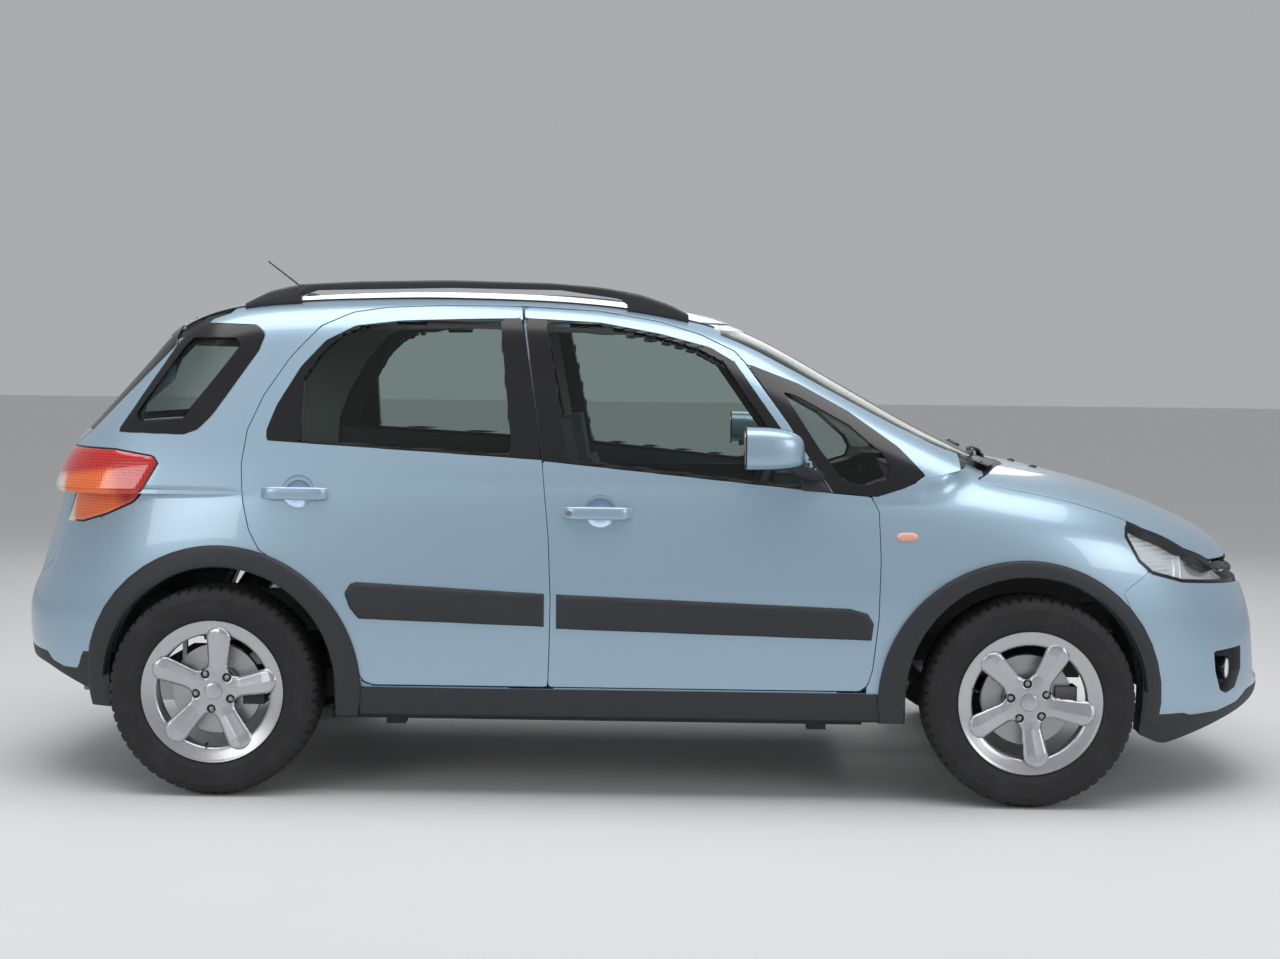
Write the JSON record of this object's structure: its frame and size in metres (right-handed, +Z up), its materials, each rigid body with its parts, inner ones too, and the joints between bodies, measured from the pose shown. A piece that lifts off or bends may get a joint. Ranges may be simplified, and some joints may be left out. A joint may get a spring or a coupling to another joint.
{
  "type": "compact crossover",
  "caption": "Compact crossover car with opening doors, bonnet and tailgate, steered front wheels, arch cladding and roof rails.",
  "frame": {"origin": "on the ground under the middle of the overall length and width", "axes": "+X towards the front, +Y towards the car's left, +Z up"},
  "size_m": [4.1, 2.0186, 1.6857],
  "materials": {
    "paint": "metallic light blue under clear coat",
    "window": "tinted",
    "black_plastic": "fine grain",
    "lamp_clear": "clear lens over a bright reflector",
    "lamp_red": "red lens",
    "underbody": "underseal",
    "cast_metal": "as cast",
    "chassis": "black chassis paint",
    "exhaust_steel": "dull",
    "hinge_steel": "dull",
    "trim": "soft grain",
    "seat_fabric": "woven",
    "tyre": "matt",
    "alloy": "silver lacquer"
  },
  "bodies": {
    "body": {"body_shell": "paint", "roof": "paint", "fixed_glass": "window", "front_wings": "paint", "front_bumper": "paint", "grille": "black_plastic", "rear_bumper": "paint", "headlamps": "lamp_clear", "tail_lamps": "lamp_red", "cladding": "black_plastic", "cowl": "black_plastic", "roof_rails": "black_plastic", "floor_pan": "underbody", "engine_block": "cast_metal", "rear_axle": "chassis", "front_subframe": "chassis", "exhaust": "exhaust_steel", "hinges": "hinge_steel", "dashboard": "trim", "seats": "seat_fabric"},
    "bonnet": {"bonnet": "paint"},
    "tailgate": {"tailgate": "paint", "tailgate_glass": "window"},
    "front_knuckle_right": {"knuckle_right": "chassis"},
    "front_knuckle_left": {"knuckle_left": "chassis"},
    "wheel_front_right": {"wheel_front_right": "alloy", "tyre_front_right": "tyre"},
    "door_front_right": {"door_front_right": "paint", "glass_front_right": "window", "fittings_front_right": "black_plastic"},
    "wheel_rear_right": {"wheel_rear_right": "alloy", "tyre_rear_right": "tyre"},
    "door_rear_right": {"door_rear_right": "paint", "glass_rear_right": "window", "fittings_rear_right": "black_plastic"},
    "wheel_front_left": {"wheel_front_left": "alloy", "tyre_front_left": "tyre"},
    "door_front_left": {"door_front_left": "paint", "glass_front_left": "window", "fittings_front_left": "black_plastic"},
    "wheel_rear_left": {"wheel_rear_left": "alloy", "tyre_rear_left": "tyre"},
    "door_rear_left": {"door_rear_left": "paint", "glass_rear_left": "window", "fittings_rear_left": "black_plastic"}
  },
  "joints": [
    {"name": "steer_right", "type": "hinge", "parent": "body", "child": "front_knuckle_right", "pos_m": [1.187, -0.7, 0.324], "axis": [0, 0, 1], "range_deg": [-33, 33]},
    {"name": "steer_left", "type": "hinge", "parent": "body", "child": "front_knuckle_left", "pos_m": [1.187, 0.7, 0.324], "axis": [0, 0, 1], "range_deg": [-33, 33]},
    {"name": "spin_front_right", "type": "hinge", "parent": "front_knuckle_right", "child": "wheel_front_right", "pos_m": [1.187, -0.748, 0.324], "axis": [0, 1, 0], "continuous": true},
    {"name": "spin_rear_right", "type": "hinge", "parent": "body", "child": "wheel_rear_right", "pos_m": [-1.313, -0.748, 0.324], "axis": [0, 1, 0], "continuous": true},
    {"name": "open_door_front_right", "type": "hinge", "parent": "body", "child": "door_front_right", "pos_m": [0.6685, -0.823, 0.58], "axis": [0, 0, 1], "range_deg": [0, 62]},
    {"name": "open_door_rear_right", "type": "hinge", "parent": "body", "child": "door_rear_right", "pos_m": [-0.3335, -0.823, 0.58], "axis": [0, 0, 1], "range_deg": [0, 62]},
    {"name": "spin_front_left", "type": "hinge", "parent": "front_knuckle_left", "child": "wheel_front_left", "pos_m": [1.187, 0.748, 0.324], "axis": [0, 1, 0], "continuous": true},
    {"name": "spin_rear_left", "type": "hinge", "parent": "body", "child": "wheel_rear_left", "pos_m": [-1.313, 0.748, 0.324], "axis": [0, 1, 0], "continuous": true},
    {"name": "open_door_front_left", "type": "hinge", "parent": "body", "child": "door_front_left", "pos_m": [0.6685, 0.823, 0.58], "axis": [0, 0, -1], "range_deg": [0, 62]},
    {"name": "open_door_rear_left", "type": "hinge", "parent": "body", "child": "door_rear_left", "pos_m": [-0.3335, 0.823, 0.58], "axis": [0, 0, -1], "range_deg": [0, 62]},
    {"name": "open_tailgate", "type": "hinge", "parent": "body", "child": "tailgate", "pos_m": [-1.4645, 0, 1.47432], "axis": [0, 1, 0], "range_deg": [0, 70]},
    {"name": "open_bonnet", "type": "hinge", "parent": "body", "child": "bonnet", "pos_m": [0.9795, 0, 0.975], "axis": [0, -1, 0], "range_deg": [0, 50]}
  ],
  "couplings": [
    {"joint": "steer_left", "follows": "steer_right", "ratio": 1}
  ]
}
